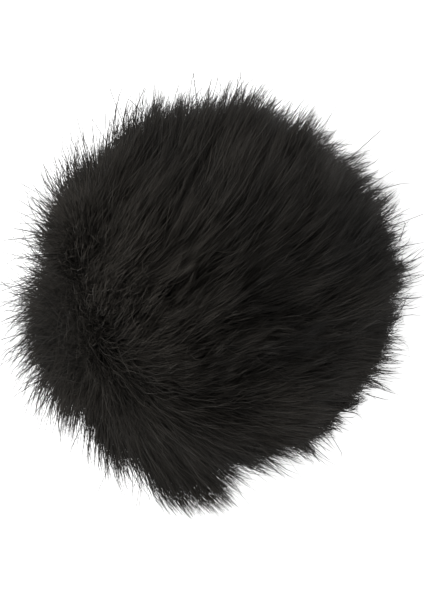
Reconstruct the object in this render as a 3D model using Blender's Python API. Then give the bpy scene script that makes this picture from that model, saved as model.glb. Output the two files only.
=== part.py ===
"""Slip-on fur windscreen for a compact microphone.

A fur cover of four gores, sewn round a blind pocket, pulls over an open-cell foam insert. The
insert has a moulded collar in its mouth, and the windscreen stands on that collar's flange.
+Z runs along the neck's axis from the opening to the closed tip, and z = 0 is the neck face.
"""

import math

import bpy
import bmesh
from mathutils import Vector

MM = 0.001

# Fur ball
BALL_R = 28.0 * MM
BALL_Z = 22.0 * MM
GORES = 4
SEAM_GAP = 0.3 * MM
COVER_Z = 1.8 * MM

# Pocket inside the fur cover
POCKET_R = 16.0 * MM
MOUTH_R = 18.2 * MM
MOUTH_TOP_Z = 8.3 * MM
POCKET_Z = 10.5 * MM

# Folded cuff at the cover's mouth
CUFF_INNER_R = 15.3 * MM
CUFF_OUTER_R = 17.9 * MM
CUFF_CLOTH = 0.6 * MM
CUFF_TOP_Z = 8.0 * MM

# Elastic inside the cuff
ELASTIC_INNER_R = 16.25 * MM
ELASTIC_OUTER_R = 16.95 * MM
ELASTIC_Z = 2.75 * MM
ELASTIC_HEIGHT = 2.4 * MM
ELASTIC_ROUND = 0.2 * MM

# Foam insert
FOAM_R = 15.0 * MM
FOAM_Z = 1.8 * MM
FOAM_EDGE = 0.8 * MM
BORE_R = 10.3 * MM
BORE_END_Z = 30.0 * MM
SEAT_R = 12.3 * MM
SEAT_Z = 9.3 * MM

# Neck collar
COLLAR_R = 18.0 * MM
COLLAR_FLANGE = 1.5 * MM
BARREL_R = 12.0 * MM
BARREL_Z = 9.0 * MM
COLLAR_CHAMFER = 0.4 * MM
MOUTH_CHAMFER = 0.7 * MM
GROOVE_R = 11.1 * MM
GROOVE_Z = (4.0 * MM, 6.6 * MM)

# Grip ring
GRIP_INNER_R = 9.9 * MM
GRIP_OUTER_R = 10.8 * MM
GRIP_Z = (4.3 * MM, 6.3 * MM)
GRIP_NOSE = 0.45 * MM

# Stitching
THREAD_R = 0.2 * MM
SEAM_THREAD_SHELL = 15.62 * MM
SEAM_THREAD_Z = 11.4 * MM
SEAM_THREAD_TOP = math.radians(81.0)
SEAM_STITCH = 1.3 * MM
SEAM_STITCH_HALF_WIDTH = 1.1 * MM
HEM_THREAD_R = 16.6 * MM
HEM_THREAD_Z = 6.6 * MM
HEM_STITCH_HALF_WIDTH = 0.7 * MM
HEM_STITCHES = 60

# Facets
TURN_STEPS = 64
GORE_STEPS = TURN_STEPS // GORES
DOME_STEPS = 14
BALL_STEPS = 24
THREAD_SIDES = 6


def clear_scene():
    for old in list(bpy.data.objects):
        bpy.data.objects.remove(old, do_unlink=True)


def make_material(name, colour, roughness, metallic=0.0):
    material = bpy.data.materials.new(name)
    material.use_nodes = True
    shader = material.node_tree.nodes["Principled BSDF"]
    shader.inputs["Base Color"].default_value = (*colour, 1.0)
    shader.inputs["Roughness"].default_value = roughness
    shader.inputs["Metallic"].default_value = metallic
    material.diffuse_color = (*colour, 1.0)
    return material


def add_object(name, bm, material, smooth_angle=math.radians(35.0)):
    """Welds, orients and shades a mesh, and puts it in the scene under its own name."""
    bmesh.ops.remove_doubles(bm, verts=bm.verts, dist=1e-7)
    bmesh.ops.dissolve_degenerate(bm, edges=bm.edges, dist=1e-7)
    bmesh.ops.recalc_face_normals(bm, faces=bm.faces)
    mesh = bpy.data.meshes.new(name)
    bm.to_mesh(mesh)
    bm.free()
    mesh.shade_smooth()
    mesh.set_sharp_from_angle(angle=smooth_angle)
    mesh.materials.append(material)
    obj = bpy.data.objects.new(name, mesh)
    bpy.context.collection.objects.link(obj)
    return obj


def arc(centre_r, centre_z, radius, start, end, steps):
    """Points (r, z) along an arc, from one angle above the horizontal to another."""
    points = []
    for i in range(steps + 1):
        angle = start + (end - start) * i / steps
        r = centre_r + radius * math.cos(angle)
        z = centre_z + radius * math.sin(angle)
        points.append((max(r, 0.0), z))
    return points


def revolve(profile, steps=TURN_STEPS):
    """A ring-shaped or solid body from a closed profile of (r, z) points turned about Z."""
    bm = bmesh.new()
    rows = []
    for r, z in profile:
        row = []
        for i in range(steps):
            angle = 2.0 * math.pi * i / steps
            row.append(bm.verts.new((r * math.cos(angle), r * math.sin(angle), z)))
        rows.append(row)
    for a in range(len(rows)):
        b = (a + 1) % len(rows)
        if profile[a][0] == 0.0 and profile[b][0] == 0.0:
            continue
        for i in range(steps):
            j = (i + 1) % steps
            bm.faces.new((rows[a][i], rows[a][j], rows[b][j], rows[b][i]))
    return bm


def gore_body(outer, inner, turn):
    """One gore between two flat seam faces, each half a seam gap away from its seam's plane."""
    half_gap = SEAM_GAP / 2.0
    profile = outer + inner
    span = 2.0 * math.pi / GORES
    bm = bmesh.new()
    rows = []
    for r, z in profile:
        edge = math.asin(min(1.0, half_gap / r))
        row = []
        for i in range(GORE_STEPS + 1):
            angle = turn + edge + (span - 2.0 * edge) * i / GORE_STEPS
            row.append(bm.verts.new((r * math.cos(angle), r * math.sin(angle), z)))
        rows.append(row)
    for a in range(len(rows)):
        b = (a + 1) % len(rows)
        for i in range(GORE_STEPS):
            bm.faces.new((rows[a][i], rows[a][i + 1], rows[b][i + 1], rows[b][i]))
    split = len(outer) - 1
    for side in (0, GORE_STEPS):
        pairs = list(zip(range(split, -1, -1), range(split + 1, len(rows))))
        for (a, b), (c, d) in zip(pairs, pairs[1:]):
            bm.faces.new((rows[a][side], rows[b][side], rows[d][side], rows[c][side]))
    return bm


def thread_body(points, closed):
    """A round thread along a line of points, capped at both ends unless it is a loop."""
    bm = bmesh.new()
    count = len(points)
    rings = []
    for i, point in enumerate(points):
        before = points[(i - 1) % count] if closed or i > 0 else point
        after = points[(i + 1) % count] if closed or i < count - 1 else point
        along = (after - before).normalized()
        out = Vector((point.x, point.y, max(point.z - BALL_Z, 0.0))).normalized()
        side = along.cross(out).normalized()
        up = side.cross(along).normalized()
        ring = []
        for k in range(THREAD_SIDES):
            angle = 2.0 * math.pi * k / THREAD_SIDES
            offset = side * math.cos(angle) + up * math.sin(angle)
            ring.append(bm.verts.new(point + offset * THREAD_R))
        rings.append(ring)
    for i in range(count if closed else count - 1):
        a, b = rings[i], rings[(i + 1) % count]
        for k in range(THREAD_SIDES):
            m = (k + 1) % THREAD_SIDES
            bm.faces.new((a[k], a[m], b[m], b[k]))
    if not closed:
        bm.faces.new(rings[0])
        bm.faces.new(rings[-1])
    return bm


def ball_profile():
    """The fur's outer surface, from the cut at the neck to the tip."""
    low = math.asin((COVER_Z - BALL_Z) / BALL_R)
    high = math.acos(SEAM_GAP / math.sqrt(2.0) / BALL_R)
    return arc(0.0, BALL_Z, BALL_R, low, high, BALL_STEPS)


def pocket_profile():
    """The pocket's surface, from the tip down to the mouth that takes the cuff."""
    high = math.acos(SEAM_GAP / math.sqrt(2.0) / POCKET_R)
    dome = arc(0.0, BALL_Z, POCKET_R, high, 0.0, BALL_STEPS - 3)
    return dome + [(POCKET_R, POCKET_Z), (MOUTH_R, MOUTH_TOP_Z), (MOUTH_R, COVER_Z)]


def cuff_profile():
    """Cloth folded upwards into two legs, open at the top."""
    fold_top = COVER_Z + CUFF_CLOTH
    return [
        (CUFF_INNER_R, COVER_Z),
        (CUFF_OUTER_R, COVER_Z),
        (CUFF_OUTER_R, CUFF_TOP_Z),
        (CUFF_OUTER_R - CUFF_CLOTH, CUFF_TOP_Z),
        (CUFF_OUTER_R - CUFF_CLOTH, fold_top),
        (CUFF_INNER_R + CUFF_CLOTH, fold_top),
        (CUFF_INNER_R + CUFF_CLOTH, CUFF_TOP_Z),
        (CUFF_INNER_R, CUFF_TOP_Z),
    ]


def elastic_profile():
    """A flat elastic band standing on edge, with softened corners."""
    low = ELASTIC_Z
    high = ELASTIC_Z + ELASTIC_HEIGHT
    soft = ELASTIC_ROUND
    return [
        (ELASTIC_INNER_R + soft, low),
        (ELASTIC_OUTER_R - soft, low),
        (ELASTIC_OUTER_R, low + soft),
        (ELASTIC_OUTER_R, high - soft),
        (ELASTIC_OUTER_R - soft, high),
        (ELASTIC_INNER_R + soft, high),
        (ELASTIC_INNER_R, high - soft),
        (ELASTIC_INNER_R, low + soft),
    ]


def foam_profile():
    """A domed foam sleeve with a blind bore and a seat for the collar's barrel."""
    dome = arc(0.0, BALL_Z, FOAM_R, 0.0, math.pi / 2.0, DOME_STEPS)
    dome[-1] = (0.0, BALL_Z + FOAM_R)
    return [
        (SEAT_R, FOAM_Z),
        (FOAM_R - FOAM_EDGE, FOAM_Z),
        (FOAM_R, FOAM_Z + FOAM_EDGE),
        *dome,
        (0.0, BORE_END_Z),
        (BORE_R, BORE_END_Z),
        (BORE_R, SEAT_Z),
        (SEAT_R, SEAT_Z),
    ]


def collar_profile():
    """A flat flange and a barrel, with a lead-in at the mouth and a groove for the grip ring."""
    low, high = GROOVE_Z
    return [
        (BORE_R + MOUTH_CHAMFER, 0.0),
        (COLLAR_R - COLLAR_CHAMFER, 0.0),
        (COLLAR_R, COLLAR_CHAMFER),
        (COLLAR_R, COLLAR_FLANGE - COLLAR_CHAMFER),
        (COLLAR_R - COLLAR_CHAMFER, COLLAR_FLANGE),
        (BARREL_R, COLLAR_FLANGE),
        (BARREL_R, BARREL_Z - COLLAR_CHAMFER),
        (BARREL_R - COLLAR_CHAMFER, BARREL_Z),
        (BORE_R + COLLAR_CHAMFER, BARREL_Z),
        (BORE_R, BARREL_Z - COLLAR_CHAMFER),
        (BORE_R, high),
        (GROOVE_R, high),
        (GROOVE_R, low),
        (BORE_R, low),
        (BORE_R, MOUTH_CHAMFER),
    ]


def grip_profile():
    """A ring with a rounded nose that stands a little into the bore."""
    low, high = GRIP_Z
    return [
        (GRIP_OUTER_R, low),
        (GRIP_OUTER_R, high),
        (GRIP_INNER_R + GRIP_NOSE, high),
        (GRIP_INNER_R, high - GRIP_NOSE),
        (GRIP_INNER_R, low + GRIP_NOSE),
        (GRIP_INNER_R + GRIP_NOSE, low),
    ]


def seam_thread_points(turn):
    """Zigzag overlock stitches over one seam, up the pocket's wall and over its dome."""
    wall = BALL_Z - SEAM_THREAD_Z
    length = wall + SEAM_THREAD_SHELL * SEAM_THREAD_TOP
    stitches = round(length / SEAM_STITCH)
    points = []
    for i in range(stitches + 1):
        along = length * i / stitches
        if along < wall:
            r, z = SEAM_THREAD_SHELL, SEAM_THREAD_Z + along
        else:
            angle = (along - wall) / SEAM_THREAD_SHELL
            r = SEAM_THREAD_SHELL * math.cos(angle)
            z = BALL_Z + SEAM_THREAD_SHELL * math.sin(angle)
        sway = SEAM_STITCH_HALF_WIDTH * (1.0 if i % 2 else -1.0)
        angle = turn + math.atan2(sway, r)
        points.append(Vector((r * math.cos(angle), r * math.sin(angle), z)))
    return points


def hem_thread_points():
    """Zigzag stitches round the cuff, above the elastic."""
    points = []
    for i in range(2 * HEM_STITCHES):
        angle = math.pi * i / HEM_STITCHES
        sway = HEM_STITCH_HALF_WIDTH * (1.0 if i % 2 else -1.0)
        x = HEM_THREAD_R * math.cos(angle)
        y = HEM_THREAD_R * math.sin(angle)
        points.append(Vector((x, y, HEM_THREAD_Z + sway)))
    return points


def build():
    clear_scene()
    for i in range(GORES):
        turn = 2.0 * math.pi * i / GORES
        fur = make_material(f"fur_{i + 1}", (0.02, 0.019, 0.018), 0.7)
        add_object(f"fur_gore_{i + 1}", gore_body(ball_profile(), pocket_profile(), turn), fur)
        thread = make_material(f"seam_thread_{i + 1}", (0.03, 0.03, 0.032), 0.6)
        add_object(f"seam_thread_{i + 1}", thread_body(seam_thread_points(turn), False), thread)

    knit = make_material("knit", (0.035, 0.034, 0.036), 0.85)
    add_object("hem_cuff", revolve(cuff_profile()), knit)
    elastic = make_material("elastic", (0.09, 0.09, 0.095), 0.7)
    add_object("elastic_ring", revolve(elastic_profile()), elastic)
    hem = make_material("hem_thread", (0.03, 0.03, 0.032), 0.6)
    add_object("hem_thread", thread_body(hem_thread_points(), True), hem)

    foam = make_material("foam", (0.045, 0.045, 0.048), 0.95)
    add_object("foam_sleeve", revolve(foam_profile()), foam)
    collar = make_material("collar", (0.03, 0.03, 0.031), 0.5)
    add_object("neck_collar", revolve(collar_profile()), collar)
    grip = make_material("grip", (0.06, 0.06, 0.062), 0.6)
    add_object("grip_ring", revolve(grip_profile()), grip)


build()
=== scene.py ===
import math

import bmesh
import bpy
import numpy as np
from mathutils import Matrix, Vector
from mathutils.kdtree import KDTree


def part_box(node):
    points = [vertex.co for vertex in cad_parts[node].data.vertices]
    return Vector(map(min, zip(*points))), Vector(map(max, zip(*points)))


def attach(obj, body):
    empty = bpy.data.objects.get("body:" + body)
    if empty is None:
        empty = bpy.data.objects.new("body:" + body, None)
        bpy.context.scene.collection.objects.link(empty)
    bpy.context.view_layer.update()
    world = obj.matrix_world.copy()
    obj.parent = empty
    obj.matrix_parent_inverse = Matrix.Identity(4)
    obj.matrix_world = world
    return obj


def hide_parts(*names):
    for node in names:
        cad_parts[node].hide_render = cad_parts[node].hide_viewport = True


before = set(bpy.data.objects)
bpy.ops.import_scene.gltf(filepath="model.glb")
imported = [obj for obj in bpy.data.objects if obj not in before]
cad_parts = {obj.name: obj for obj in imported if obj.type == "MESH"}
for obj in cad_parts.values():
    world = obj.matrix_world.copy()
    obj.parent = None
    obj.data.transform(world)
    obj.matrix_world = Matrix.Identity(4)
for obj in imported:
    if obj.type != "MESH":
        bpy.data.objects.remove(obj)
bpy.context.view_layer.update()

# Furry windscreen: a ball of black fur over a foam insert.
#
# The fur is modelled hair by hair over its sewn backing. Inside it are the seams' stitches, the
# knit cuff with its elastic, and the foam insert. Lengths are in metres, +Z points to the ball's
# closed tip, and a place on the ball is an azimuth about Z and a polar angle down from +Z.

MM = 0.001
GORES = 4
QUARTER = 0.5 * math.pi


def corners(node):
    """A CAD node's lowest and highest corner, to the nearest hundredth of a millimetre."""
    return [np.round(np.array(corner), 5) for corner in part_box(node)]


# Sizes that the frame gives
BALL_HIGH = corners("fur_gore_1")[1]
CENTRE = np.array([0.0, 0.0, BALL_HIGH[2] - BALL_HIGH[0]])
FOAM_LOW, FOAM_HIGH = corners("foam_sleeve")
CUFF_LOW, CUFF_HIGH = corners("hem_cuff")
ELASTIC_LOW, ELASTIC_HIGH = corners("elastic_ring")
FOAM_R = FOAM_HIGH[0]

# Picture: the tip's angle off the line of sight, its direction in the picture and that of +X, which
# is the parting's; then the lens, the radius across the hairs' tips and its share of the picture's
# height, and how far below the ball's middle the camera looks
TIP_OFF_AXIS = math.radians(50.0)
TIP_ANGLE = math.radians(168.0)
PARTING_ANGLE = math.radians(-72.0)
LENS = 180.0
SENSOR = 36.0
BALL_TIPS_R = 31.0 * MM
BALL_SHARE = 0.653333
AIM_LOW = 1.89796 * MM

# Light, from a side given along the picture's right, its up and towards the camera
WHITE = (1.0, 1.0, 1.0, 1.0)
KEY_SIDE = (-0.6, 0.15, 0.85)
KEY_POWER = 4.5
KEY_SIZE = 0.5
KEY_DISTANCE = 0.6
WORLD_STRENGTH = 0.57

# Floor
FLOOR_R = 2.75
FLOOR_SWEEP = 0.32
FLOOR_Z = -0.02 * MM
FLOOR_AROUND = 64
FLOOR_RISE = 8
FLOOR_COLOUR = (0.35, 0.35, 0.35, 1.0)
FLOOR_GLOW = 1.0
FLOOR_ROUGHNESS = 0.9
FLOOR_SPECULAR = 0.1

# Combing: the whorl's place, the short parting through it, the swirl round it, and the heights of
# the outward direction between which the hair turns down to the neck
WHORL_TILT = math.radians(22.0)
WHORL_TOWARDS = math.radians(-126.0)
PARTING_TURN = math.radians(-5.0)
PARTING_HALF = math.radians(32.0)
PARTING_SHIFT = math.radians(21.0)
SWIRL_NEAR = math.radians(-27.0)
SWIRL_FAR = math.radians(47.0)
SWIRL_GROWS = math.radians(74.0)
SWIRL_NECK = math.radians(14.0)
NECK_FROM = 0.1
NECK_BY = -0.6

# The hair on the parting and, less so, around it
PARTING_FADES = math.radians(14.0)
PARTING_LEAN = math.radians(52.0)
PARTING_MIX = math.radians(55.0)
PARTING_THICKER = 2.6
PARTING_LOOSER = 0.7
AROUND_FADES = math.radians(48.0)
AROUND_THICKER = 0.8
AROUND_LOOSER = 0.70
# Hair round the parting is painted paler, which is painted light that lifts the shade in the gaps there
AROUND_PAINTED_LIGHT = 0.45

# Places combed round: azimuth, polar angle, width and turn, all in degrees
COMBED = (
    (120, 85, 28, 16),
    (70, 70, 18, -14),
    (-5, 76, 22, -42),
    (95, 108, 20, 32),
    (0, 34, 18, -20),
    (-6, 90, 13, -14),
)
# Places where the hair reaches further out or less: azimuth, polar angle, width, millimetres
REACHING = (
    (-6, 92, 9, 8.0),
    (8, 105, 9, -3.6),
    (-28, 66, 13, -2.2),
    (17, 113, 12, -3.4),
    (45, 127, 17, -3.4),
    (85, 129, 16, 1.6),
    (102, 124, 12, -1.2),
    (118, 116, 22, -0.8),
    (139, 98, 10, -1.4),
    (148, 88, 9, 2.6),
    (158, 77, 9, -2.4),
    (166, 69, 11, -1.4),
    (-176, 50, 15, -2.4),
    (-158, 42, 28, -1.0),
    (-60, 40, 24, 3.6),
    (-48, 48, 10, 2.4),
    (46, 52, 11, 1.6),
)
# Places where the hair is painted paler or darker, which is painted light and painted shade standing in
# for how the light falls there: azimuth, polar angle, width and share
PAINTED_LIGHT_AND_SHADE = (
    (77, 84, 27, -0.42),
    (44, 47, 17, 0.45),
    (34, 31, 12, 0.50),
    (67, 11, 12, 0.35),
    (5, 15, 9, 0.25),
    (-52, 31, 13, -0.60),
    (20, 86, 18, 0.35),
    (-62, 17, 13, -0.34),
    (0, 9, 8, 0.22),
    (82, 84, 10, -0.24),
    (56, 74, 10, -0.26),
)

# Pile: the surface the hairs are rooted in, a ball that runs down into a straight skirt
ROOT_R = 21.5 * MM
SKIRT_R = 19.0 * MM
SKIRT_LOW_Z = 2.8 * MM
LAYERS = 4
HAIRS_PER_LAYER = 8500
LOCKS = 9000
TUFTS = 600

# Hairs: their mesh, their lean from root to tip and how far out their tips reach
SEGMENTS = 4
SIDES = 3
HAIR_R = 0.046 * MM
HAIR_R_RANGE = (0.7, 1.2)
GUARD_THICKER = 1.35
TAPER_FROM = 0.35
TAPER_BY = 0.50
TAPER_POWER = 1.6
UV_MARGIN = 0.15
LEAN_ROOT = math.radians(47.0)
LEAN_TIP = math.radians(33.0)
MEAN_LEAN = 0.5 * (LEAN_ROOT + LEAN_TIP)
UPRIGHT_SHARE = 0.8
TIPS_R = 28.0 * MM
TIP_RUN = 9.0 * MM
SHORTEST = 4.0 * MM
LONGEST = 20.5 * MM
LEAN_JITTER = math.radians(8.0)
TURN_JITTER = math.radians(10.0)
TIPS_JITTER = (-0.6 * MM, 0.8 * MM)
ROOT_JITTER = 0.15 * MM
SWAY = 0.14 * MM

# Guard hairs and locks stand out past the rest, and strays lie across it
GUARD_HAIRS = 0.11
GUARD_HAIR_REACH = (1.0 * MM, 6.4 * MM)
GUARD_HAIR_PULL = 0.6
GUARD_LOCKS = 0.36
GUARD_LOCK_REACH = (1.5 * MM, 7.2 * MM)
STRAYS = 0.035
STRAY_LEAN = (0.1, 0.25)
STRAY_TURN = 0.5
STRAY_REACH = 0.8 * MM

# Locks and tufts: how their lines stray from the nap, and how far each draws its own hair to it
LOCK_LEAN_JITTER = 0.09
LOCK_TURN_JITTER = 0.12
LOCK_REACH_JITTER = 0.7 * MM
TUFT_LEAN_JITTER = 0.10
TUFT_TURN_JITTER = 0.14
TUFT_REACH_JITTER = (0.3 * MM, 1.2 * MM)
LOCK_PULL = (0.4, 0.85)
GUARD_LOCK_PULL = (0.85, 1.0)
HAIR_PULL = (0.75, 1.0)
TUFT_PULL = (0.1, 0.65)
LOCK_POWER = 1.25
TUFT_POWER = 1.5

# Limits: the longest hair, the floor, and the mouth that the insert goes in by
LONG_R = 36.0 * MM
LONGEST_R = 39.2 * MM
FLOOR_CLEAR = 0.35 * MM
FLOOR_BEND_Z = 5.0 * MM
MOUTH_CLEAR_R = 18.5 * MM
MOUTH_BEND_R = 20.5 * MM
MOUTH_TOP_Z = 9.0 * MM
MOUTH_FADES = 4.0 * MM

# Hair's colours, and how much single hairs and patches of them differ
HAIR_ROOT = (0.0155, 0.0146, 0.0132)
# The tip is lighter and browner than the root: partly the fibre's own brown, partly painted light for
# light shining through the thin tips
HAIR_TIP = (0.022, 0.0192, 0.016)
HAIR_TIP_FROM = 0.35
HAIR_ROUGHNESS = 0.5
HAIR_SPECULAR = 0.14
TONE_JITTER = 0.13
TONE_RANGE = (0.35, 2.6)

# Quarter shells in millimetres: their domes' and skirts' outer and inner radii, and their heights
UNDERFUR = {"dome": (22.0, 17.05), "skirt": (19.4, 18.65), "low": 2.4, "top": 8.9, "cone": 10.9}
BACKING = {"dome": (16.95, 16.1), "skirt": (18.55, 18.2), "low": 1.95, "top": 8.4, "cone": 10.6}
SHELL_GAP = 0.15 * MM

# Cuff and elastic: inside their CAD boxes by a clearance, with ribs, cords and a fine weft
CUFF_CLEAR = 0.05 * MM
CUFF_INNER_R = 15.35 * MM
CUFF_CLOTH = 0.55 * MM
CUFF_EDGE = 0.22 * MM
CUFF_PARTS = 8
CUFF_RIBS = 108
CUFF_RIB = 0.05 * MM
CUFF_RIB_IN = 0.02 * MM
ELASTIC_INNER_R = 16.3 * MM
ELASTIC_CORDS = 8
ELASTIC_RIDGE = 0.05 * MM
ELASTIC_WEFT = 0.02 * MM
ELASTIC_WEFTS = 120
ELASTIC_SLANT = 9000.0

MOST_OF_SIDE = 0.45

# Stitches: the thread, the seams inside the pocket and the hem round the cuff
THREAD_R = 0.2 * MM
THREAD_PLIES = 3
THREAD_TWIST = 1.9 * MM
THREAD_GROOVE = 0.16
SEAM_R = 15.62 * MM
SEAM_LOW_Z = 11.4 * MM
SEAM_TOP = math.radians(81.0)
SEAM_STITCH = 1.3 * MM
SEAM_HALF_WIDTH = 1.1 * MM
HEM_R = 16.6 * MM
HEM_Z = 6.6 * MM
HEM_HALF_WIDTH = 0.7 * MM
HEM_STITCHES = 60

# Foam: its steps and edges, its bore with the collar's seat, and its pitted, uneven skin
FOAM_AROUND = 160
FOAM_DOME_STEPS = 20
FOAM_WALL_STEPS = 13
FOAM_STEP = 1.5 * MM
FOAM_EDGE = 0.5 * MM
FOAM_FOOT_IN = 0.7 * MM
FOAM_FOOT_UP = 0.8 * MM
BORE_R = 10.3 * MM
BORE_END_Z = 30.0 * MM
SEAT_R = 12.3 * MM
SEAT_Z = 9.3 * MM
PIT_SIZE = 1.9 * MM
PIT_DEPTH = 0.05 * MM
PIT_WAVES = 24
UNEVEN_SIZE = 9.0 * MM
UNEVEN_DEPTH = 0.06 * MM
UNEVEN_WAVES = 10

# Finishes: two shades and the pattern that mixes them, its scale and its bump's height; the low shade
# lies in the bump's hollows, which is painted shade
UNDERFUR_FINISH = {
    "low": (0.003, 0.003, 0.003), "high": (0.008, 0.0075, 0.007), "roughness": 0.9,
    "specular": 0.1, "pattern": "grain", "scale": 2600.0, "bump": 0.3 * MM,
}
BACKING_FINISH = {
    "low": (0.010, 0.010, 0.011), "high": (0.045, 0.044, 0.046), "roughness": 0.9,
    "specular": 0.15, "pattern": "cells", "scale": 2400.0, "bump": 0.18 * MM, "tall": 2.5,
}
CUFF_FINISH = {
    "low": (0.012, 0.012, 0.013), "high": (0.05, 0.049, 0.052), "roughness": 0.88,
    "specular": 0.15, "pattern": "cells", "scale": 3200.0, "bump": 0.08 * MM, "tall": 2.5,
}
ELASTIC_FINISH = {
    "low": (0.05, 0.05, 0.052), "high": (0.12, 0.12, 0.125), "roughness": 0.75,
    "specular": 0.3, "pattern": "grain", "scale": 5000.0, "bump": 0.05 * MM,
}
THREAD_FINISH = {
    "low": (0.03, 0.03, 0.032), "high": (0.08, 0.08, 0.085), "roughness": 0.5,
    "specular": 0.3, "pattern": "grain", "scale": 7000.0, "bump": 0.03 * MM,
}
FOAM_FINISH = {
    "low": (0.005, 0.005, 0.006), "high": (0.034, 0.034, 0.037), "roughness": 0.95,
    "specular": 0.1, "pattern": "cells", "scale": 2400.0, "bump": 0.3 * MM,
}
COLLAR_FINISH = {
    "low": (0.022, 0.022, 0.023), "high": (0.034, 0.034, 0.035), "roughness": 0.5,
    "specular": 0.45, "pattern": "grain", "scale": 6000.0, "bump": 0.02 * MM,
}
GRIP_FINISH = {
    "low": (0.045, 0.045, 0.047), "high": (0.065, 0.065, 0.067), "roughness": 0.62,
    "specular": 0.4, "pattern": "grain", "scale": 3500.0, "bump": 0.015 * MM,
}
SHADE_LOW = 0.15
SHADE_HIGH = 0.75
BUMP_STRENGTH = 0.8
GRAIN_DETAIL = 5.0

rng = np.random.default_rng(20)


# ---------------------------------------------------------------- directions and noise

def unit(v):
    return v / np.maximum(np.linalg.norm(v, axis=-1, keepdims=True), 1e-12)


def smooth(x):
    x = np.clip(x, 0.0, 1.0)
    return x * x * (3.0 - 2.0 * x)


class Waves:
    """Smooth noise made of plane waves, for anything that drifts slowly over the ball."""

    def __init__(self, length, amount, count=14):
        self.k = rng.normal(size=(count, 3)) * (2.0 * math.pi / length)
        self.phase = rng.uniform(0.0, 2.0 * math.pi, count)
        self.scale = amount * math.sqrt(2.0 / count)

    def __call__(self, points):
        return np.sin(points @ self.k.T + self.phase).sum(axis=-1) * self.scale


lift_waves = Waves(26.0 * MM, 0.10)
turn_waves = Waves(22.0 * MM, 0.07)
lift_waves_fine = Waves(9.0 * MM, 0.07)
turn_waves_fine = Waves(8.0 * MM, 0.10)
reach_waves = Waves(11.0 * MM, 0.9 * MM)
tone_waves = Waves(14.0 * MM, 0.22)


def whorl_axes():
    """Rows are the whorl's own axes: X along the parting, Z out of the whorl's middle."""
    hinge = Vector((-math.sin(WHORL_TOWARDS), math.cos(WHORL_TOWARDS), 0.0))
    turn = Matrix.Rotation(WHORL_TILT, 3, hinge) @ Matrix.Rotation(PARTING_TURN, 3, "Z")
    return np.array(turn.transposed())


WHORL = whorl_axes()


def at_places(n, places):
    """What the listed places add up to at each outward direction."""
    total = np.zeros(len(n))
    for azimuth, polar, width, amount in places:
        azimuth, polar, width = math.radians(azimuth), math.radians(polar), math.radians(width)
        middle = np.array([
            math.sin(polar) * math.cos(azimuth),
            math.sin(polar) * math.sin(azimuth),
            math.cos(polar),
        ])
        away = np.arccos(np.clip(n @ middle, -1.0, 1.0))
        total += amount * np.exp(-(away / width) ** 2)
    return total


def nap(points):
    """Outward normal, combed direction and angle from the parting, at each point.

    The hair leaves the parting on both sides, swirls away from it and runs down to the neck.
    With a place on the ball as a complex number, the square root's cut is the parting."""
    n = unit(points - CENTRE)
    own = n @ WHORL.T
    polar = np.arccos(np.clip(own[:, 2], -1.0, 1.0))
    around = np.arctan2(own[:, 1], own[:, 0])
    place = polar * np.exp(1j * around) - PARTING_SHIFT
    root = np.sqrt(place * place - PARTING_HALF**2 + 0j)
    root = np.where((root * np.conj(place)).real < 0.0, -root, root)
    flow = np.conj(1.0 / np.where(np.abs(root) < 1e-6, 1e-6, root))
    swirl = SWIRL_NEAR + (SWIRL_FAR - SWIRL_NEAR) * smooth(polar / SWIRL_GROWS)
    flow = flow / np.abs(flow) * np.exp(1j * (swirl - around))
    down = np.stack([
        np.cos(polar) * np.cos(around),
        np.cos(polar) * np.sin(around),
        -np.sin(polar),
    ], axis=1)
    across = np.stack([-np.sin(around), np.cos(around), np.zeros_like(around)], axis=1)
    t = (flow.real[:, None] * down + flow.imag[:, None] * across) @ WHORL
    to_neck = unit(np.array([0.0, 0.0, -1.0]) + n * n[:, 2:3])
    to_neck = np.cos(SWIRL_NECK) * to_neck + np.sin(SWIRL_NECK) * np.cross(n, to_neck)
    low = smooth((NECK_FROM - n[:, 2]) / (NECK_FROM - NECK_BY))[:, None]
    t = unit(t + (to_neck - t) * low)
    beyond = np.maximum(np.abs(place.real) - PARTING_HALF, 0.0)
    return n, t, np.hypot(beyond, place.imag)


def near_parting(away, fades):
    """From 1 on the parting down to 0 at the angle where its effect has faded."""
    return 1.0 - smooth(away / fades)


# ---------------------------------------------------------------- hairs

def root_points(count):
    """Even random points over the pile's root surface."""
    drop = math.pi - math.asin(SKIRT_R / ROOT_R)
    skirt_top = CENTRE[2] + ROOT_R * math.cos(drop)
    ball_area = 2.0 * math.pi * ROOT_R**2 * (1.0 - math.cos(drop))
    skirt_area = 2.0 * math.pi * SKIRT_R * (skirt_top - SKIRT_LOW_Z)
    pick = rng.uniform(0.0, ball_area + skirt_area, count)
    on_ball = pick < ball_area
    around = rng.uniform(-math.pi, math.pi, count)
    cosine = np.clip(1.0 - (1.0 - math.cos(drop)) * pick / ball_area, -1.0, 1.0)
    r = np.where(on_ball, ROOT_R * np.sqrt(1.0 - cosine**2), SKIRT_R)
    low = SKIRT_LOW_Z + (skirt_top - SKIRT_LOW_Z) * (pick - ball_area) / skirt_area
    z = np.where(on_ball, CENTRE[2] + ROOT_R * cosine, low)
    return np.stack([r * np.cos(around), r * np.sin(around), z], axis=1)


def hair_roots(count):
    """Roots of single hairs, which stand closer together near the parting."""
    roots = root_points(2 * count)
    away = nap(roots)[2]
    thick = 1.0 + PARTING_THICKER * near_parting(away, PARTING_FADES)
    thick = thick + AROUND_THICKER * near_parting(away, AROUND_FADES)
    return roots[rng.choice(2 * count, count, replace=False, p=thick / thick.sum())]


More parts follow.
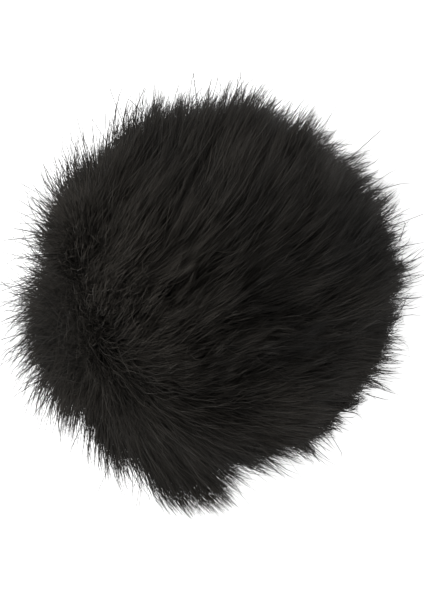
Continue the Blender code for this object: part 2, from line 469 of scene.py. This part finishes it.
def lengths(roots, reach_extra):
    """How long each hair has to be for its tip to come out where the ball's outline wants it."""
    _, t, away = nap(roots)
    tips_at = unit(roots - CENTRE + t * TIP_RUN)
    tips_r = TIPS_R + MM * at_places(tips_at, REACHING)
    depth = np.linalg.norm(roots - CENTRE, axis=1)
    reach = tips_r + reach_waves(roots) + reach_extra - depth
    upright = near_parting(away, PARTING_FADES)
    lean = MEAN_LEAN + (PARTING_LEAN - MEAN_LEAN) * UPRIGHT_SHARE * upright
    return np.clip(reach / np.sin(lean), SHORTEST, LONGEST)


def grow(roots, lean_extra, turn_extra, reach_extra):
    """Points along each hair, (hairs, SEGMENTS + 1, 3), following the nap from its root."""
    lift = lift_waves(roots) + lift_waves_fine(roots) + lean_extra
    turn = turn_waves(roots) + turn_waves_fine(roots) + turn_extra
    step = lengths(roots, reach_extra)[:, None] / SEGMENTS
    line = np.empty((len(roots), SEGMENTS + 1, 3))
    line[:, 0] = roots
    for k in range(SEGMENTS):
        n, t, away = nap(line[:, k])
        lean = LEAN_ROOT + (LEAN_TIP - LEAN_ROOT) * (k + 0.5) / SEGMENTS
        lean = lean + (PARTING_LEAN - lean) * near_parting(away, PARTING_FADES) + lift
        round_by = turn + np.radians(at_places(n, COMBED))
        heading = np.cos(round_by)[:, None] * t + np.sin(round_by)[:, None] * np.cross(n, t)
        way = np.cos(lean)[:, None] * heading + np.sin(lean)[:, None] * n
        line[:, k + 1] = line[:, k] + way * step
    return line


def gather(line, leaders, power, pull):
    """Draws hairs towards their leaders' lines, more and more towards the tip."""
    s = np.linspace(0.0, 1.0, SEGMENTS + 1)[None, :, None]
    return line + (leaders - line) * (pull[:, None, None] * s**power)


def nearest(points, leaders):
    tree = KDTree(len(leaders))
    for i, leader in enumerate(leaders):
        tree.insert(leader, i)
    tree.balance()
    return np.array([tree.find(point)[1] for point in points])


def held_in(line):
    """Evens out the longest hair; hair that would reach the floor or the mouth lies along it."""
    r = np.linalg.norm(line - CENTRE, axis=2, keepdims=True)
    room = LONGEST_R - LONG_R
    new_r = LONG_R + room * (1.0 - np.exp(-(r - LONG_R) / room))
    out = CENTRE + (line - CENTRE) * np.where(r > LONG_R, new_r / r, 1.0)

    z = out[..., 2]
    room = FLOOR_BEND_Z - FLOOR_CLEAR
    above_floor = FLOOR_CLEAR + room * np.exp((z - FLOOR_BEND_Z) / room)
    z = np.where(z < FLOOR_BEND_Z, above_floor, z)

    r = np.hypot(out[..., 0], out[..., 1])
    room = MOUTH_BEND_R - MOUTH_CLEAR_R
    off_mouth = MOUTH_CLEAR_R + room * np.exp((r - MOUTH_BEND_R) / room)
    off_mouth = np.where(r < MOUTH_BEND_R, off_mouth, r)
    new_r = r + (off_mouth - r) * smooth((MOUTH_TOP_Z - z) / MOUTH_FADES)
    share = new_r / np.maximum(r, 1e-9)
    return np.stack([out[..., 0] * share, out[..., 1] * share, z], axis=-1)


def rings_around(line, radius):
    """Each hair's vertices: a ring of SIDES round every point but the last, then the tip."""
    rings = line.shape[1] - 1
    way = np.empty_like(line)
    way[:, 1:-1] = line[:, 2:] - line[:, :-2]
    way[:, 0] = line[:, 1] - line[:, 0]
    way[:, -1] = line[:, -1] - line[:, -2]
    way = unit(way)
    side = unit(np.cross(way, unit(line - CENTRE)))
    up = np.cross(side, way)
    spin = rng.uniform(0.0, 2.0 * math.pi, len(line))
    s = np.arange(rings) / rings
    taper = 1.0 - TAPER_BY * np.maximum((s - TAPER_FROM) / (1.0 - TAPER_FROM), 0.0) ** TAPER_POWER
    verts = np.empty((len(line), rings * SIDES + 1, 3))
    for j in range(SIDES):
        angle = spin + 2.0 * math.pi * j / SIDES
        ring = (np.cos(angle)[:, None, None] * side[:, :rings]
                + np.sin(angle)[:, None, None] * up[:, :rings])
        offset = ring * (radius[:, None] * taper[None, :])[..., None]
        verts[:, j:rings * SIDES:SIDES] = line[:, :rings] + offset
    verts[:, -1] = line[:, -1]
    return verts


def one_hair_faces(rings):
    """One hair's faces as vertex numbers, and the same corners as (side, ring) on its unrolled skin."""
    faces = []
    corners_uv = []
    for k in range(rings - 1):
        for j in range(SIDES):
            m = (j + 1) % SIDES
            a, b = k * SIDES, (k + 1) * SIDES
            faces.append((a + j, a + m, b + m, b + j))
            corners_uv += [(j, k), (j + 1, k), (j + 1, k + 1), (j, k + 1)]
    last = (rings - 1) * SIDES
    for j in range(SIDES):
        faces.append((last + j, last + (j + 1) % SIDES, rings * SIDES))
        corners_uv += [(j, rings - 1), (j + 1, rings - 1), (j + 0.5, rings)]
    return faces, np.array(corners_uv, float)


def hair_uv(count, rings, corners_uv):
    """Every hair's skin unrolled in a cell of its own, in a square grid."""
    grid = math.ceil(math.sqrt(count))
    cell_x = np.arange(count) % grid
    cell_y = np.arange(count) // grid
    share = (1.0 - 2.0 * UV_MARGIN) * corners_uv / np.array([SIDES, rings])
    u = (cell_x[:, None] + UV_MARGIN + share[None, :, 0]) / grid
    v = (cell_y[:, None] + UV_MARGIN + share[None, :, 1]) / grid
    return np.stack([u, v], axis=-1)


def hair_mesh(name, line, radius, tone):
    """Tapered hairs as one mesh, with how far along its hair and how pale each point is."""
    count = len(line)
    rings = line.shape[1] - 1
    verts = rings_around(line, radius)
    per = verts.shape[1]
    faces, corners_uv = one_hair_faces(rings)
    loops = np.concatenate(faces)[None, :] + per * np.arange(count)[:, None]
    totals = np.tile([len(face) for face in faces], count)
    mesh = bpy.data.meshes.new(name)
    mesh.vertices.add(count * per)
    mesh.vertices.foreach_set("co", verts.ravel().astype(np.float32))
    mesh.loops.add(loops.size)
    mesh.loops.foreach_set("vertex_index", loops.ravel().astype(np.int32))
    mesh.polygons.add(len(totals))
    starts = np.concatenate([[0], np.cumsum(totals)[:-1]])
    mesh.polygons.foreach_set("loop_start", starts.astype(np.int32))
    mesh.update(calc_edges=True)
    mesh.polygons.foreach_set("use_smooth", np.ones(len(totals), bool))

    layer = mesh.uv_layers.new(name="OFBake")
    layer.data.foreach_set("uv", hair_uv(count, rings, corners_uv).ravel().astype(np.float32))
    along = np.append(np.repeat(np.arange(rings) / rings, SIDES), 1.0)
    for attribute, values in (("along", np.tile(along, count)), ("tone", np.repeat(tone, per))):
        data = mesh.attributes.new(attribute, "FLOAT", "POINT").data
        data.foreach_set("value", values.astype(np.float32))
    return in_scene(name, mesh)


# ---------------------------------------------------------------- finishes

def shader_of(name, roughness, specular):
    material = bpy.data.materials.new(name)
    material.use_nodes = True
    tree = material.node_tree
    shader = tree.nodes["Principled BSDF"]
    shader.inputs["Roughness"].default_value = roughness
    shader.inputs["Specular IOR Level"].default_value = specular
    return material, tree, shader


def colour_ramp(tree, low_at, low, high_at, high):
    ramp = tree.nodes.new("ShaderNodeValToRGB")
    ramp.color_ramp.elements[0].position = low_at
    ramp.color_ramp.elements[0].color = (*low, 1.0)
    ramp.color_ramp.elements[1].position = high_at
    ramp.color_ramp.elements[1].color = (*high, 1.0)
    return ramp


def hair_material(name):
    """Its colour runs from root to a lighter tip, partly painted light, times each hair's tone, which
    holds random differences and painted light and shade.
    """
    material, tree, shader = shader_of(name, HAIR_ROUGHNESS, HAIR_SPECULAR)
    along = tree.nodes.new("ShaderNodeAttribute")
    along.attribute_name = "along"
    tone = tree.nodes.new("ShaderNodeAttribute")
    tone.attribute_name = "tone"
    ramp = colour_ramp(tree, HAIR_TIP_FROM, HAIR_ROOT, 1.0, HAIR_TIP)
    scale = tree.nodes.new("ShaderNodeVectorMath")
    scale.operation = "SCALE"
    tree.links.new(along.outputs["Fac"], ramp.inputs["Fac"])
    tree.links.new(ramp.outputs["Color"], scale.inputs[0])
    tree.links.new(tone.outputs["Fac"], scale.inputs["Scale"])
    tree.links.new(scale.outputs[0], shader.inputs["Base Color"])
    return material


def textured(name, low, high, roughness, specular, pattern, scale, bump, tall=1.0):
    """Two shades mixed by fine cells or grain that also bump, the darker shade in the bump's hollows as
    painted shade; tall cells are stretched along Z.
    """
    material, tree, shader = shader_of(name, roughness, specular)
    where = tree.nodes.new("ShaderNodeTexCoord")
    spread = tree.nodes.new("ShaderNodeMapping")
    spread.inputs["Scale"].default_value = (1.0, 1.0, 1.0 / tall)
    tree.links.new(where.outputs["Object"], spread.inputs["Vector"])
    if pattern == "cells":
        texture = tree.nodes.new("ShaderNodeTexVoronoi")
        out = texture.outputs["Distance"]
    else:
        texture = tree.nodes.new("ShaderNodeTexNoise")
        texture.inputs["Detail"].default_value = GRAIN_DETAIL
        out = texture.outputs["Fac"]
    texture.inputs["Scale"].default_value = scale
    tree.links.new(spread.outputs["Vector"], texture.inputs["Vector"])
    ramp = colour_ramp(tree, SHADE_LOW, low, SHADE_HIGH, high)
    tree.links.new(out, ramp.inputs["Fac"])
    tree.links.new(ramp.outputs["Color"], shader.inputs["Base Color"])
    lift = tree.nodes.new("ShaderNodeBump")
    lift.inputs["Strength"].default_value = BUMP_STRENGTH
    lift.inputs["Distance"].default_value = bump
    tree.links.new(out, lift.inputs["Height"])
    tree.links.new(lift.outputs["Normal"], shader.inputs["Normal"])
    return material


# ---------------------------------------------------------------- mesh tools

def in_scene(name, mesh):
    obj = bpy.data.objects.new(name, mesh)
    bpy.context.scene.collection.objects.link(obj)
    return obj


def object_from(name, verts, faces, weld=1e-7):
    """A welded, smooth mesh object that faces out."""
    mesh = bpy.data.meshes.new(name)
    mesh.from_pydata([tuple(v) for v in verts], [], faces)
    bm = bmesh.new()
    bm.from_mesh(mesh)
    bmesh.ops.remove_doubles(bm, verts=bm.verts, dist=weld)
    bmesh.ops.dissolve_degenerate(bm, edges=bm.edges, dist=1e-7)
    bmesh.ops.recalc_face_normals(bm, faces=bm.faces)
    bm.to_mesh(mesh)
    bm.free()
    mesh.shade_smooth()
    return in_scene(name, mesh)


def belongs(obj, material, body, replaced=None):
    """Finishes a piece, hides the CAD part that it stands for and puts it on the body it rides on."""
    obj.data.materials.append(material)
    if replaced:
        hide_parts(replaced)
    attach(obj, body)


def quarter_profile(dome, skirt, low, top, cone, count=30):
    """Outer and inner (r, z) points of a quarter shell: a dome that runs down into a skirt.

    A skirt inside the dome's radius cuts the ball; a wider one meets it over a short cone."""
    (outer_r, inner_r), (outer_skirt, inner_skirt) = dome, skirt
    at_seam = SHELL_GAP * math.sqrt(2.0) / MM
    middle = CENTRE[2] / MM
    outer = [(outer_skirt, low), (outer_skirt, top)]
    start = 0.0
    if outer_r > outer_skirt:
        start = -math.acos(outer_skirt / outer_r)
    else:
        outer.append((outer_r, cone))
    end = math.acos(at_seam / outer_r)
    for i in range(count + 1):
        angle = start + (end - start) * i / count
        outer.append((outer_r * math.cos(angle), middle + outer_r * math.sin(angle)))
    inner = []
    end = math.acos(at_seam / inner_r)
    steps = len(outer) - 4
    for i in range(steps + 1):
        angle = end * (1.0 - i / steps)
        inner.append((inner_r * math.cos(angle), middle + inner_r * math.sin(angle)))
    inner += [(inner_r, cone), (inner_skirt, top), (inner_skirt, low)]
    return np.array(outer) * MM, np.array(inner) * MM


def gore_shell(name, shell, number, steps=24):
    """A closed quarter of a shell, half a gap clear of its neighbours at both seams."""
    outer, inner = quarter_profile(**shell)
    profile = np.concatenate([outer, inner])
    r, z = profile[:, 0], profile[:, 1]
    edge = np.arcsin(np.minimum(1.0, SHELL_GAP / r))
    f = np.linspace(0.0, 1.0, steps + 1)
    angle = QUARTER * number + edge[:, None] + (QUARTER - 2.0 * edge[:, None]) * f[None, :]
    x = r[:, None] * np.cos(angle)
    y = r[:, None] * np.sin(angle)
    verts = np.stack([x, y, np.repeat(z[:, None], steps + 1, axis=1)], axis=-1)
    rows = len(profile)
    width = steps + 1
    faces = []
    for a in range(rows):
        b = (a + 1) % rows
        for i in range(steps):
            faces.append((a * width + i, a * width + i + 1, b * width + i + 1, b * width + i))
    split = len(outer) - 1
    for side in (0, steps):
        pairs = list(zip(range(split, -1, -1), range(split + 1, rows)))
        for (a, b), (c, d) in zip(pairs, pairs[1:]):
            faces.append(tuple(k * width + side for k in (a, b, d, c)))
    return object_from(name, verts.reshape(-1, 3), faces, weld=1e-6)


def turned(name, profile, steps, ripple):
    """A closed (r, z) profile turned about Z; ripple(angle, r, z) adds to the radius."""
    verts = []
    for r, z in profile:
        for i in range(steps):
            angle = 2.0 * math.pi * i / steps
            radius = r + ripple(angle, r, z)
            verts.append((radius * math.cos(angle), radius * math.sin(angle), z))
    faces = []
    rows = len(profile)
    for a in range(rows):
        b = (a + 1) % rows
        if profile[a][0] == 0.0 and profile[b][0] == 0.0:
            continue
        for i in range(steps):
            j = (i + 1) % steps
            faces.append((a * steps + i, a * steps + j, b * steps + j, b * steps + i))
    return object_from(name, verts, faces)


def divided(points, share):
    """The same closed (r, z) outline with each side over 2 mm tall cut into equal parts."""
    out = []
    for i, (r, z) in enumerate(points):
        rise = points[(i + 1) % len(points)][1] - z
        out.append((r, z))
        if abs(rise) > 2.0 * MM:
            for k in range(1, share):
                out.append((r, z + rise * k / share))
    return out


def rounded(points, radius, steps=3):
    """The same closed (r, z) outline with every corner off the axis rounded.

    A corner takes less than half of each of its sides, so that rounded corners never meet."""
    out = []
    count = len(points)
    for i in range(count):
        before = Vector(points[i - 1])
        at = Vector(points[i])
        after = Vector(points[(i + 1) % count])
        if at.x == 0.0:
            out.append(tuple(at))
            continue
        cut = min(radius, MOST_OF_SIDE * (before - at).length, MOST_OF_SIDE * (after - at).length)
        start = at + (before - at).normalized() * cut
        end = at + (after - at).normalized() * cut
        for k in range(steps + 1):
            f = k / steps
            p = start * (1 - f) ** 2 + at * 2 * f * (1 - f) + end * f * f
            out.append((p.x, p.y))
    return out


def eased(corners_of, closed, per=8):
    """A smooth path along a zigzag's corners, rounded where it turns."""
    count = len(corners_of)
    path = []
    for i in range(count if closed else count - 1):
        a = np.array(corners_of[i])
        b = np.array(corners_of[(i + 1) % count])
        for k in range(per):
            path.append(a + (b - a) * (k / per))
    if not closed:
        path.append(np.array(corners_of[-1]))
    path = np.array(path)
    for _ in range(per):
        if closed:
            path = 0.5 * path + 0.25 * (np.roll(path, 1, axis=0) + np.roll(path, -1, axis=0))
        else:
            path[1:-1] = 0.5 * path[1:-1] + 0.25 * (path[:-2] + path[2:])
    return path


def plied(name, points, closed, sides=18):
    """A twisted sewing thread along a smooth path."""
    count = len(points)
    if closed:
        after = np.roll(points, -1, axis=0)
        way = unit(after - np.roll(points, 1, axis=0))
        gaps = np.linalg.norm(after - points, axis=1)
        run = np.concatenate([[0.0], np.cumsum(gaps)[:-1]])
        phase = 2.0 * math.pi * round(gaps.sum() / THREAD_TWIST) * run / gaps.sum()
    else:
        way = unit(np.gradient(points, axis=0))
        gaps = np.linalg.norm(np.diff(points, axis=0), axis=1)
        phase = 2.0 * math.pi * np.concatenate([[0.0], np.cumsum(gaps)]) / THREAD_TWIST
    rise = np.maximum(points[:, 2] - CENTRE[2], 0.0)
    out = unit(np.stack([points[:, 0], points[:, 1], rise], axis=1))
    side = unit(np.cross(way, out))
    up = np.cross(side, way)
    verts = []
    for i in range(count):
        for k in range(sides):
            a = 2.0 * math.pi * k / sides
            ply = math.cos(THREAD_PLIES * a - phase[i]) - 1.0
            radius = THREAD_R * (1.0 + THREAD_GROOVE * ply)
            verts.append(points[i] + radius * (math.cos(a) * side[i] + math.sin(a) * up[i]))
    faces = []
    for i in range(count if closed else count - 1):
        j = (i + 1) % count
        for k in range(sides):
            m = (k + 1) % sides
            faces.append((i * sides + k, i * sides + m, j * sides + m, j * sides + k))
    if not closed:
        faces.append(tuple(range(sides)))
        faces.append(tuple((count - 1) * sides + k for k in range(sides)))
    return object_from(name, verts, faces)


# ---------------------------------------------------------------- the cover's fur

def tuft_leaders():
    roots = root_points(TUFTS)
    lines = grow(
        roots,
        rng.normal(0.0, TUFT_LEAN_JITTER, TUFTS),
        rng.normal(0.0, TUFT_TURN_JITTER, TUFTS),
        rng.normal(*TUFT_REACH_JITTER, TUFTS),
    )
    return roots, lines, rng.uniform(*TUFT_PULL, TUFTS)


def lock_leaders():
    """Locks that lean towards their tufts: their roots, their lines and how hard each draws."""
    tuft_roots, tuft_lines, tuft_pull = tuft_leaders()
    roots = root_points(LOCKS)
    guard = rng.uniform(size=LOCKS) < GUARD_LOCKS
    lean = rng.normal(0.0, LOCK_LEAN_JITTER, LOCKS)
    turn = rng.normal(0.0, LOCK_TURN_JITTER, LOCKS)
    reach = rng.normal(0.0, LOCK_REACH_JITTER, LOCKS)
    reach += np.where(guard, rng.uniform(*GUARD_LOCK_REACH, LOCKS), 0.0)
    lines = grow(roots, lean, turn, reach)
    tuft = nearest(roots, tuft_roots)
    lines = gather(lines, tuft_lines[tuft], TUFT_POWER, tuft_pull[tuft])
    pull = np.where(guard, rng.uniform(*GUARD_LOCK_PULL, LOCKS), rng.uniform(*LOCK_PULL, LOCKS))
    return roots, lines, pull


def comb_fur(total):
    """Every hair's points, radius and tone."""
    lock_roots, lock_lines, lock_pull = lock_leaders()
    roots = hair_roots(total)
    away = nap(roots)[2]
    parted = near_parting(away, PARTING_FADES)
    around = near_parting(away, AROUND_FADES)

    stray = rng.uniform(size=total) < STRAYS
    lean = rng.normal(0.0, LEAN_JITTER, total) + np.where(stray, rng.normal(*STRAY_LEAN, total), 0.0)
    turn = rng.normal(0.0, TURN_JITTER, total)
    turn += np.where(stray, rng.normal(0.0, STRAY_TURN, total), 0.0)
    turn += rng.normal(0.0, PARTING_MIX, total) * parted
    reach = rng.normal(*TIPS_JITTER, total) + np.where(stray, STRAY_REACH, 0.0)
    guard = rng.uniform(size=total) < GUARD_HAIRS
    reach += np.where(guard, rng.uniform(*GUARD_HAIR_REACH, total), 0.0)
    lines = grow(roots, lean, turn, reach)

    lock = nearest(roots + rng.normal(0.0, ROOT_JITTER, roots.shape), lock_roots)
    pull = np.where(stray, 0.0, lock_pull[lock] * rng.uniform(*HAIR_PULL, total))
    pull *= (1.0 - PARTING_LOOSER * parted) * (1.0 - AROUND_LOOSER * around)
    pull *= np.where(guard, GUARD_HAIR_PULL, 1.0)
    lines = gather(lines, lock_lines[lock], LOCK_POWER, pull)
    sway = rng.normal(0.0, SWAY, lines.shape)
    sway[:, 0] = 0.0
    lines = held_in(lines + sway)

    radius = HAIR_R * rng.uniform(*HAIR_R_RANGE, total) * np.where(guard, GUARD_THICKER, 1.0)
    # Tone differs at random by patch and by hair; round the parting it is painted paler, which is
    # painted light
    tone = 1.0 + tone_waves(roots) + rng.normal(0.0, TONE_JITTER, total) + AROUND_PAINTED_LIGHT * around
    # Painted light and shade at the listed places, taken at each hair's middle
    tone += at_places(unit(lines[:, SEGMENTS // 2] - CENTRE), PAINTED_LIGHT_AND_SHADE)
    return lines, radius, np.clip(tone, *TONE_RANGE)


def make_fur():
    lines, radius, tone = comb_fur(GORES * LAYERS * HAIRS_PER_LAYER)
    roots = lines[:, 0]
    gore = np.floor(np.arctan2(roots[:, 1], roots[:, 0]) / QUARTER).astype(int) % GORES
    for g in range(GORES):
        hairs = np.nonzero(gore == g)[0]
        material = hair_material(f"pile_{g + 1}")
        for part in range(LAYERS):
            own = hairs[part::LAYERS]
            obj = hair_mesh(f"pile_{g + 1}_{part + 1}", lines[own], radius[own], tone[own])
            belongs(obj, material, "fur_cover")


def make_underfur():
    """The dense mass of short hairs at the roots, one body for each gore."""
    material = textured("underfur", **UNDERFUR_FINISH)
    for g in range(GORES):
        obj = gore_shell(f"underfur_{g + 1}", UNDERFUR, g)
        belongs(obj, material, "fur_cover", f"fur_gore_{g + 1}")


def make_backing():
    """The fur fabric's knitted backing, which lines the pocket."""
    material = textured("backing", **BACKING_FINISH)
    for g in range(GORES):
        obj = gore_shell(f"backing_{g + 1}", BACKING, g)
        belongs(obj, material, "fur_cover")


# ---------------------------------------------------------------- the cover's cuff and stitches

def make_cuff():
    """Knit cloth folded upwards into two ribbed legs, open at the top."""
    low, top = CUFF_LOW[2] + CUFF_CLEAR, CUFF_HIGH[2]
    fold = low + CUFF_CLOTH
    inner, outer = CUFF_INNER_R, CUFF_HIGH[0] - CUFF_CLEAR
    legs = [
        (inner, low), (outer, low), (outer, top), (outer - CUFF_CLOTH, top),
        (outer - CUFF_CLOTH, fold), (inner + CUFF_CLOTH, fold), (inner + CUFF_CLOTH, top),
        (inner, top),
    ]

    def ripple(angle, r, z):
        return CUFF_RIB * math.cos(CUFF_RIBS * angle) - CUFF_RIB_IN

    obj = turned("cuff_knit", rounded(divided(legs, CUFF_PARTS), CUFF_EDGE), 6 * CUFF_RIBS, ripple)
    belongs(obj, textured("cuff_knit", **CUFF_FINISH), "fur_cover", "hem_cuff")


def make_elastic():
    """Flat elastic with cords running round it and a fine weft across them."""
    inner, outer = ELASTIC_INNER_R, ELASTIC_HIGH[0] - ELASTIC_RIDGE
    low, high = ELASTIC_LOW[2] + ELASTIC_RIDGE, ELASTIC_HIGH[2] - ELASTIC_RIDGE
    steps = 2 * ELASTIC_CORDS
    outside = []
    for k in range(steps + 1):
        groove = 2.0 * ELASTIC_RIDGE if k % 2 == 0 else 0.0
        outside.append((outer - groove, low + (high - low) * k / steps))
    inside = [(inner + outer - r, z) for r, z in reversed(outside)]

    def ripple(angle, r, z):
        return ELASTIC_WEFT * math.cos(ELASTIC_WEFTS * angle + ELASTIC_SLANT * z)

    obj = turned("elastic_braid", outside + inside, 2 * ELASTIC_WEFTS, ripple)
    belongs(obj, textured("elastic_braid", **ELASTIC_FINISH), "fur_cover", "elastic_ring")


def seam_corners(turn):
    """Zigzag overlock stitches over one seam, up the pocket's wall and over its dome."""
    wall = CENTRE[2] - SEAM_LOW_Z
    length = wall + SEAM_R * SEAM_TOP
    stitches = round(length / SEAM_STITCH)
    places = []
    for i in range(stitches + 1):
        along = length * i / stitches
        over = max(along - wall, 0.0) / SEAM_R
        r = SEAM_R * math.cos(over)
        z = min(SEAM_LOW_Z + along, CENTRE[2]) + SEAM_R * math.sin(over)
        angle = turn + math.atan2(SEAM_HALF_WIDTH * (1 if i % 2 else -1), r)
        places.append((r * math.cos(angle), r * math.sin(angle), z))
    return places


def hem_corners():
    """Zigzag stitches round the cuff, above the elastic."""
    places = []
    for i in range(2 * HEM_STITCHES):
        angle = math.pi * i / HEM_STITCHES
        z = HEM_Z + HEM_HALF_WIDTH * (1 if i % 2 else -1)
        places.append((HEM_R * math.cos(angle), HEM_R * math.sin(angle), z))
    return places


def make_threads():
    for g in range(GORES):
        name = f"overlock_{g + 1}"
        obj = plied(name, eased(seam_corners(QUARTER * g), closed=False), closed=False)
        material = textured(name, **THREAD_FINISH)
        belongs(obj, material, "fur_cover", f"seam_thread_{g + 1}")
    obj = plied("hem_stitches", eased(hem_corners(), closed=True), closed=True)
    material = textured("hem_stitches", **THREAD_FINISH)
    belongs(obj, material, "fur_cover", "hem_thread")


# ---------------------------------------------------------------- the insert

def make_foam():
    """A domed open-cell sleeve with a blind bore, slightly uneven and pitted all over."""
    wall = [(FOAM_R, FOAM_LOW[2] + FOAM_FOOT_UP + FOAM_STEP * i) for i in range(FOAM_WALL_STEPS)]
    dome = []
    for i in range(FOAM_DOME_STEPS):
        angle = QUARTER * i / FOAM_DOME_STEPS
        dome.append((FOAM_R * math.cos(angle), CENTRE[2] + FOAM_R * math.sin(angle)))
    bore = [(BORE_R, BORE_END_Z - FOAM_STEP * i) for i in range(FOAM_WALL_STEPS)]
    outline = [
        (SEAT_R, FOAM_LOW[2]), (FOAM_R - FOAM_FOOT_IN, FOAM_LOW[2]), *wall, *dome,
        (0.0, FOAM_HIGH[2]), (0.0, BORE_END_Z), *bore, (BORE_R, SEAT_Z), (SEAT_R, SEAT_Z),
    ]
    pits = Waves(PIT_SIZE, PIT_DEPTH, PIT_WAVES)
    uneven = Waves(UNEVEN_SIZE, UNEVEN_DEPTH, UNEVEN_WAVES)

    def ripple(angle, r, z):
        if r == 0.0:
            return 0.0
        at = np.array([[r * math.cos(angle), r * math.sin(angle), z]])
        return float(pits(at)[0]) + float(uneven(at)[0])

    obj = turned("foam_insert", rounded(outline, FOAM_EDGE), FOAM_AROUND, ripple)
    belongs(obj, textured("foam_insert", **FOAM_FINISH), "insert", "foam_sleeve")


def finish_hard_parts():
    for node, name, finish in (
        ("neck_collar", "collar", COLLAR_FINISH),
        ("grip_ring", "grip", GRIP_FINISH),
    ):
        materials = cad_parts[node].data.materials
        materials.clear()
        materials.append(textured(name, **finish))


# ---------------------------------------------------------------- floor, light and camera

def make_floor():
    """A pale round floor whose rim sweeps up, so that it also lies behind the object."""
    verts = []
    for i in range(FLOOR_RISE + 1):
        angle = QUARTER * i / FLOOR_RISE
        r = FLOOR_R + FLOOR_SWEEP * math.sin(angle)
        z = FLOOR_Z + FLOOR_SWEEP * (1.0 - math.cos(angle))
        for k in range(FLOOR_AROUND):
            turn = 2.0 * math.pi * k / FLOOR_AROUND
            verts.append((r * math.cos(turn), r * math.sin(turn), z))
    faces = [tuple(range(FLOOR_AROUND))]
    for i in range(FLOOR_RISE):
        a, b = i * FLOOR_AROUND, (i + 1) * FLOOR_AROUND
        for k in range(FLOOR_AROUND):
            m = (k + 1) % FLOOR_AROUND
            faces.append((a + k, b + k, b + m, a + m))
    mesh = bpy.data.meshes.new("floor")
    mesh.from_pydata(verts, [], faces)
    material, _, shader = shader_of("floor", FLOOR_ROUGHNESS, FLOOR_SPECULAR)
    shader.inputs["Base Color"].default_value = FLOOR_COLOUR
    shader.inputs["Emission Color"].default_value = WHITE
    shader.inputs["Emission Strength"].default_value = FLOOR_GLOW
    mesh.materials.append(material)
    in_scene("floor", mesh)


def picture_axes():
    """Columns: the picture's right, its up and the way back to the camera."""
    tip = Vector((
        math.sin(TIP_OFF_AXIS) * math.cos(TIP_ANGLE),
        math.sin(TIP_OFF_AXIS) * math.sin(TIP_ANGLE),
        math.cos(TIP_OFF_AXIS),
    ))
    parting = Vector((math.cos(PARTING_ANGLE), math.sin(PARTING_ANGLE), 0.0))
    x = (parting - tip * parting.dot(tip)).normalized()
    return Matrix((x, tip.cross(x), tip))


def make_light():
    world = bpy.data.worlds.new("studio")
    bpy.context.scene.world = world
    world.use_nodes = True
    background = world.node_tree.nodes["Background"]
    background.inputs["Color"].default_value = WHITE
    background.inputs["Strength"].default_value = WORLD_STRENGTH
    side = (picture_axes() @ Vector(KEY_SIDE)).normalized()
    key = bpy.data.objects.new("key", bpy.data.lights.new("key", "AREA"))
    key.data.shape = "DISK"
    key.data.size = KEY_SIZE
    key.data.energy = KEY_POWER
    turn = side.to_track_quat("Z", "Y").to_matrix().to_4x4()
    key.matrix_world = Matrix.Translation(Vector(CENTRE) + side * KEY_DISTANCE) @ turn
    bpy.context.scene.collection.objects.link(key)


def make_camera():
    """Looks just below the ball's middle, with its tip and parting where they should fall."""
    axes = picture_axes()
    camera = bpy.data.objects.new("camera", bpy.data.cameras.new("camera"))
    camera.data.lens = LENS
    camera.data.sensor_width = SENSOR
    camera.data.clip_start = 0.01
    distance = 2.0 * BALL_TIPS_R * LENS / (BALL_SHARE * SENSOR)
    place = Vector(CENTRE) + axes @ Vector((0.0, -AIM_LOW, distance))
    camera.matrix_world = Matrix.Translation(place) @ axes.to_4x4()
    bpy.context.scene.collection.objects.link(camera)
    bpy.context.scene.camera = camera


make_underfur()
make_backing()
make_cuff()
make_elastic()
make_threads()
make_foam()
finish_hard_parts()
make_fur()
make_floor()
make_light()
make_camera()
bpy.context.scene.view_settings.view_transform = "Standard"
bpy.context.scene.view_settings.look = "None"
